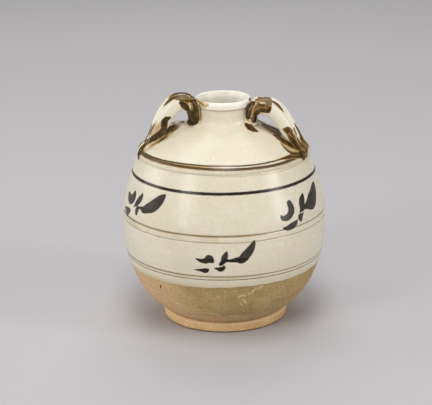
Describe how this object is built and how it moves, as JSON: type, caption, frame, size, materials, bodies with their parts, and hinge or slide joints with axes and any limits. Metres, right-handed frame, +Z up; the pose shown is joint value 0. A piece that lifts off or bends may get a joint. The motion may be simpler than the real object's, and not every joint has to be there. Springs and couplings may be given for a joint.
{
  "type": "two-handled jar",
  "caption": "Round-bodied glazed stoneware jar with a short neck, rolled lip, turned foot ring and triple-strand loop handles from neck to shoulder.",
  "frame": {"origin": "centre of the foot's resting face, on the plane that the jar stands on", "axes": "+Z up along the turning axis, +X towards the right handle, -Y towards the painted front"},
  "size_m": [0.159, 0.159, 0.1796],
  "materials": {
    "foot_clay": "bare fired stoneware, turned, dry",
    "bare_clay": "bare fired stoneware below the glaze line",
    "cream_glaze": "clear gloss glaze over cream-white slip",
    "splashed_glaze": "cream glaze splashed with iron brown",
    "brown_glaze": "glossy iron brown-black glaze"
  },
  "bodies": {
    "root": {"foot_ring": "foot_clay", "lower_body": "bare_clay", "upper_body": "cream_glaze", "shoulder_ridge": "cream_glaze", "shoulder": "cream_glaze", "neck": "cream_glaze", "rolled_lip": "cream_glaze", "left_handle_back_strand": "splashed_glaze", "left_handle_middle_strand": "splashed_glaze", "left_handle_front_strand": "splashed_glaze", "left_handle_root_pad": "brown_glaze", "left_handle_tail": "brown_glaze", "right_handle_back_strand": "splashed_glaze", "right_handle_middle_strand": "splashed_glaze", "right_handle_front_strand": "splashed_glaze", "right_handle_root_pad": "brown_glaze", "right_handle_tail": "brown_glaze"}
  },
  "joints": []
}
